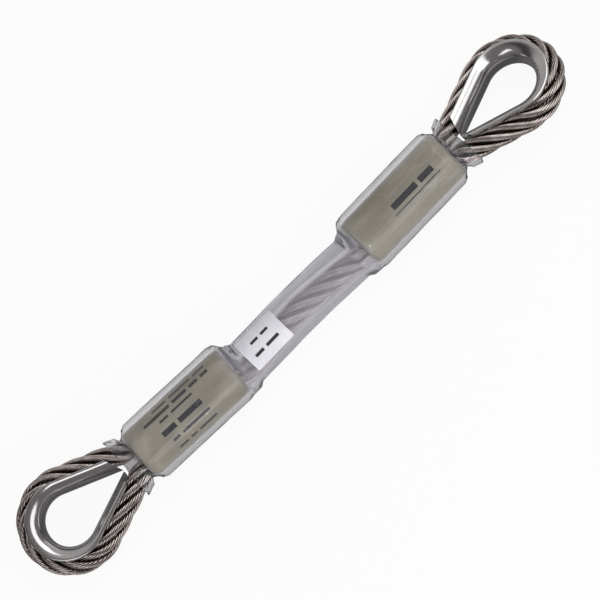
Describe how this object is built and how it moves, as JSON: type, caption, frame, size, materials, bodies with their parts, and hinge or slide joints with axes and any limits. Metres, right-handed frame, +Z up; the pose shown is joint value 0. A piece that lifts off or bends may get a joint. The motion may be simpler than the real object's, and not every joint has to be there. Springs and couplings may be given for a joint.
{
  "type": "wire rope sling",
  "caption": "Short stainless wire rope sling with a thimble eye at each end, pressed ferrules and a thick clear sleeve, for linking an anchor and a carabiner.",
  "frame": {"origin": "middle of the sling's box, midway between the two eyes at mid thickness", "axes": "+X along the sling towards eye b, +Y across it to the side that the middle bows away from, +Z up through the eyes"},
  "size_m": [0.1956, 0.0299, 0.0184],
  "materials": {
    "rope_steel": "bright drawn stainless wire, laid in strands",
    "thimble_steel": "polished stainless steel",
    "ferrule_aluminium": "pressed, satin",
    "label_film": "olive grey printed film",
    "clear_sleeve": "thick clear heat-shrink plastic, glossy, slightly hazy",
    "tag_film": "white adhesive film"
  },
  "bodies": {
    "end_a": {"eye_a_strand_1": "rope_steel", "eye_a_strand_2": "rope_steel", "eye_a_strand_3": "rope_steel", "eye_a_strand_4": "rope_steel", "eye_a_strand_5": "rope_steel", "eye_a_strand_6": "rope_steel", "eye_a_core": "rope_steel", "thimble_a": "thimble_steel", "ferrule_a": "ferrule_aluminium", "label_a": "label_film", "sleeve_a": "clear_sleeve", "span_strand_1": "rope_steel", "span_strand_2": "rope_steel", "span_strand_3": "rope_steel", "span_strand_4": "rope_steel", "span_strand_5": "rope_steel", "span_strand_6": "rope_steel", "span_core": "rope_steel", "sleeve_span": "clear_sleeve", "id_tag": "tag_film"},
    "end_b": {"eye_b_strand_1": "rope_steel", "eye_b_strand_2": "rope_steel", "eye_b_strand_3": "rope_steel", "eye_b_strand_4": "rope_steel", "eye_b_strand_5": "rope_steel", "eye_b_strand_6": "rope_steel", "eye_b_core": "rope_steel", "thimble_b": "thimble_steel", "ferrule_b": "ferrule_aluminium", "label_b": "label_film", "sleeve_b": "clear_sleeve"}
  },
  "joints": [
    {"name": "span_flex", "type": "hinge", "parent": "end_a", "child": "end_b", "pos_m": [0, -0.0027, 0], "axis": [0, 0, 1], "range_deg": [-20, 20], "stiffness_Nm_per_rad": 4, "deforming": ["span_strand_1", "span_strand_2", "span_strand_3", "span_strand_4", "span_strand_5", "span_strand_6", "span_core", "sleeve_span", "id_tag"]}
  ]
}
